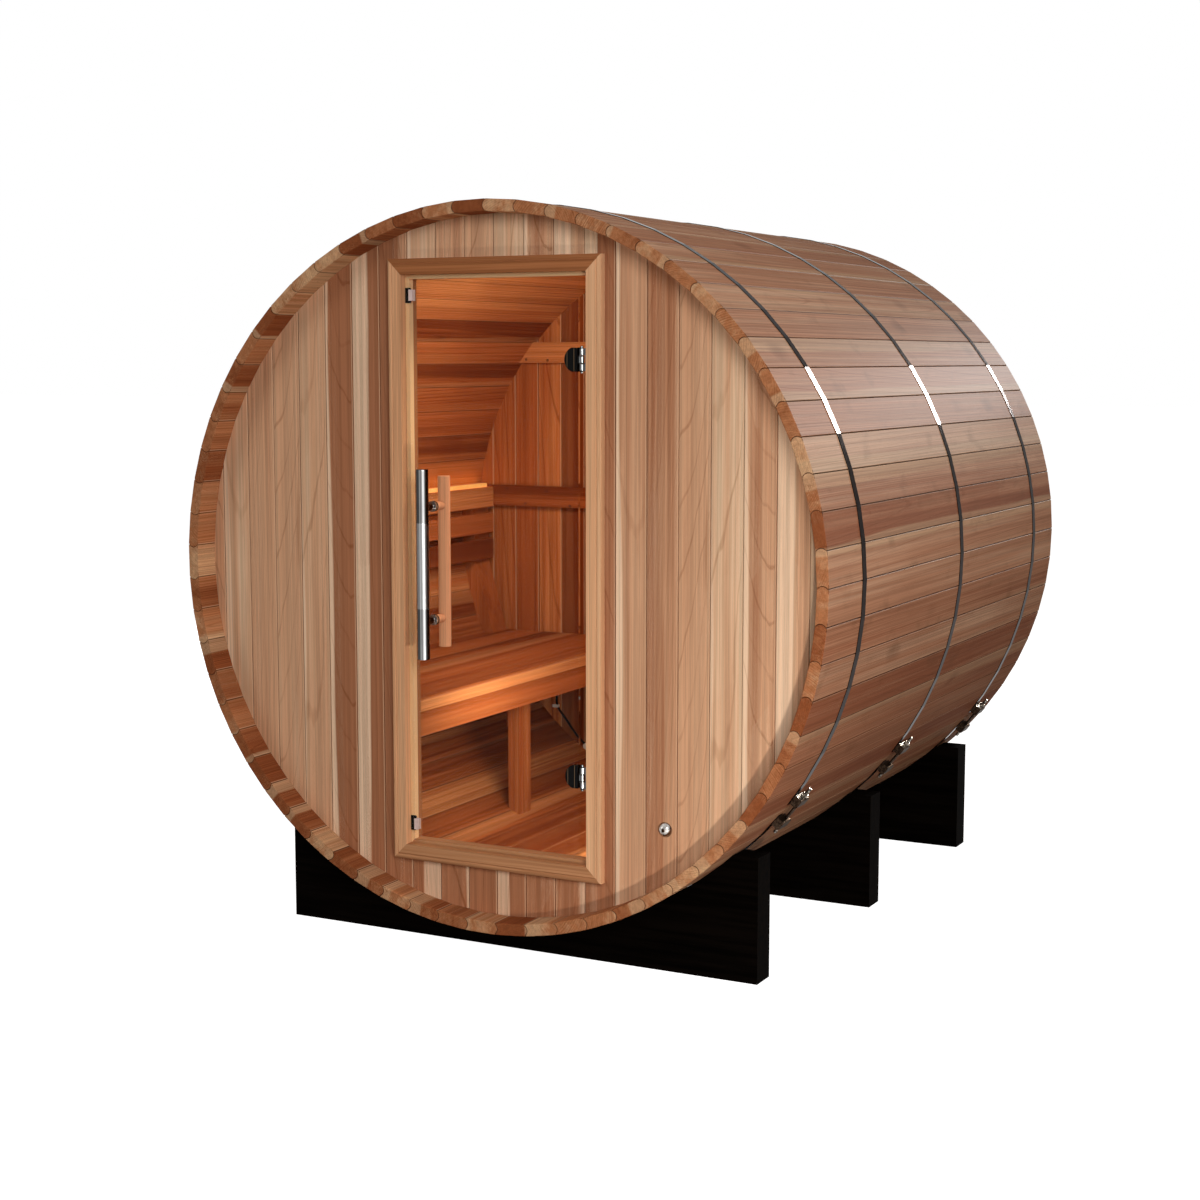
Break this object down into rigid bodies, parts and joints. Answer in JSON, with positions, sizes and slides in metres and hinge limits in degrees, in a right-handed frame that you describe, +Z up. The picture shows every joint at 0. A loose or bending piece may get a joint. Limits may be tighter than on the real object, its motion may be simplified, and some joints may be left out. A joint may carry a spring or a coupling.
{
  "type": "barrel sauna",
  "caption": "Outdoor barrel sauna of cedar staves held by steel hoops on black cradles, with a framed glass door, a bench and a slatted backrest inside.",
  "frame": {"origin": "on the ground, in the middle of the barrel's length and width", "axes": "+Z up, +Y from the door end back along the barrel, +X to the right of someone who faces the door"},
  "size_m": [1.8329, 1.91, 1.9057],
  "materials": {
    "shell_cedar": "planed cedar staves, clear finish",
    "wall_cedar": "planed tongue-and-groove cedar boards",
    "inner_cedar": "planed cedar, unfinished",
    "frame_cedar": "moulded cedar",
    "cradle_black": "black stained timber",
    "band_steel": "rolled steel band",
    "dark_steel": "dark plated steel",
    "chrome": "polished",
    "black_metal": "satin black",
    "door_glass": "clear toughened glass",
    "pale_wood": "turned pale wood",
    "catch_black": "satin",
    "strike": "satin",
    "lamp": "diffuser of a warm strip lamp",
    "lead_black": "matte",
    "clip_white": "matte"
  },
  "bodies": {
    "cabin": {"back_wall": "wall_cedar", "back_wall_battens": "inner_cedar", "backrest_ribs": "inner_cedar", "backrest_slats": "inner_cedar", "bench_apron": "inner_cedar", "bench_bearers": "inner_cedar", "bench_leg": "inner_cedar", "bench_top": "inner_cedar", "catches": "catch_black", "cradle_front": "cradle_black", "cradle_middle": "cradle_black", "cradle_rear": "cradle_black", "door_head": "frame_cedar", "door_jamb_left": "frame_cedar", "door_jamb_right": "frame_cedar", "door_sill": "frame_cedar", "floor_bearers": "inner_cedar", "floor_deck": "inner_cedar", "front_wall_left": "wall_cedar", "front_wall_over_door": "wall_cedar", "front_wall_right": "wall_cedar", "front_wall_under_door": "wall_cedar", "hinges_on_jamb": "chrome", "hoops": "band_steel", "lamp_lead": "lead_black", "lamp_lead_clips": "clip_white", "lamp_strip": "lamp", "lead_grommet": "dark_steel", "staves_01": "shell_cedar", "staves_02": "shell_cedar", "staves_03": "shell_cedar", "staves_04": "shell_cedar", "staves_05": "shell_cedar", "staves_06": "shell_cedar", "staves_07": "shell_cedar", "staves_08": "shell_cedar", "staves_09": "shell_cedar", "staves_10": "shell_cedar", "staves_11": "shell_cedar", "staves_12": "shell_cedar", "staves_13": "shell_cedar", "tensioners": "dark_steel"},
    "door": {"glass_door": "door_glass", "hinges_on_glass": "black_metal", "door_pull_outside": "chrome", "door_pull_inside": "pale_wood", "catch_strikes": "strike"}
  },
  "joints": [
    {"name": "door_hinge", "type": "hinge", "parent": "cabin", "child": "door", "pos_m": [0.25, -0.897, 0.9965], "axis": [0, 0, 1], "range_deg": [0, 110]}
  ]
}
